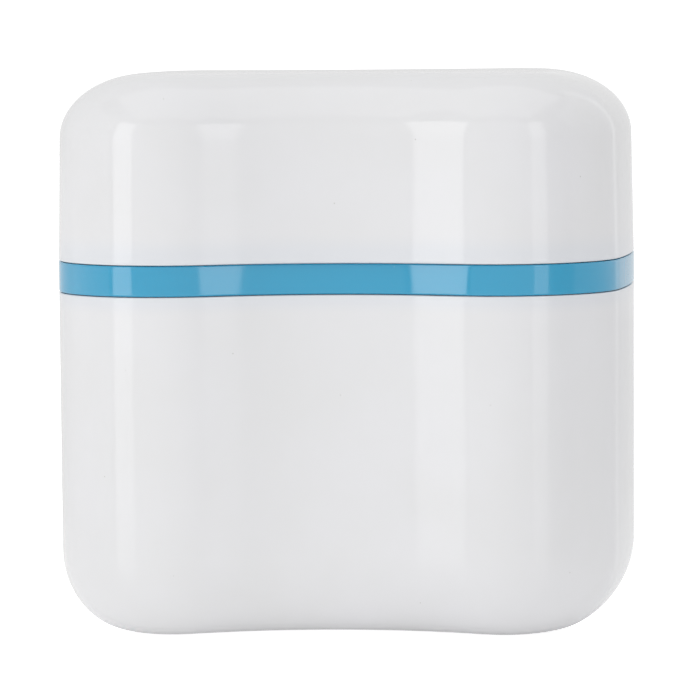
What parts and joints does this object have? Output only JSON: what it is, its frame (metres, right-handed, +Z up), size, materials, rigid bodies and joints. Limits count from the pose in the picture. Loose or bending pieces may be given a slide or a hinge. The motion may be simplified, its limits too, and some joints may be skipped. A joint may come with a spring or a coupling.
{
  "type": "denture case",
  "caption": "Lobed plastic case for soaking dentures, with a strainer basket that lifts out under a hinged lid holding a mirror and a small brush.",
  "frame": {"origin": "middle of the foot, on the surface that the case stands on", "axes": "+Z up; -Y to the front, away from the hinge; +X to the right seen from the front"},
  "size_m": [0.09, 0.0848, 0.0857],
  "materials": {
    "white_plastic": "high gloss moulded",
    "blue_plastic": "high gloss moulded",
    "basket_plastic": "satin moulded",
    "liner_plastic": "satin moulded",
    "handle_plastic": "high gloss moulded",
    "nylon": "cut nylon tufts",
    "silicone": "matte",
    "pin_steel": "drawn wire",
    "mirror": "polished"
  },
  "bodies": {
    "cup": {"base_cup": "white_plastic"},
    "collar": {"collar_ring": "blue_plastic", "rim_gasket": "silicone", "drain_basket": "basket_plastic", "hinge_pin": "pin_steel"},
    "lid": {"lid_shell": "white_plastic", "lid_liner": "liner_plastic", "lid_seal": "silicone", "mirror": "mirror"},
    "brush": {"brush_handle": "handle_plastic", "brush_bristles": "nylon"}
  },
  "joints": [
    {"name": "collar_lift", "type": "slide", "parent": "cup", "child": "collar", "axis": [0, 0, 1], "range_m": [0, 0.06]},
    {"name": "lid_hinge", "type": "hinge", "parent": "collar", "child": "lid", "pos_m": [0, 0.0414, 0.05735], "axis": [-1, 0, 0], "range_deg": [0, 110]},
    {"name": "brush_release", "type": "slide", "parent": "lid", "child": "brush", "axis": [0, 0, -1], "range_m": [0, 0.02]}
  ]
}
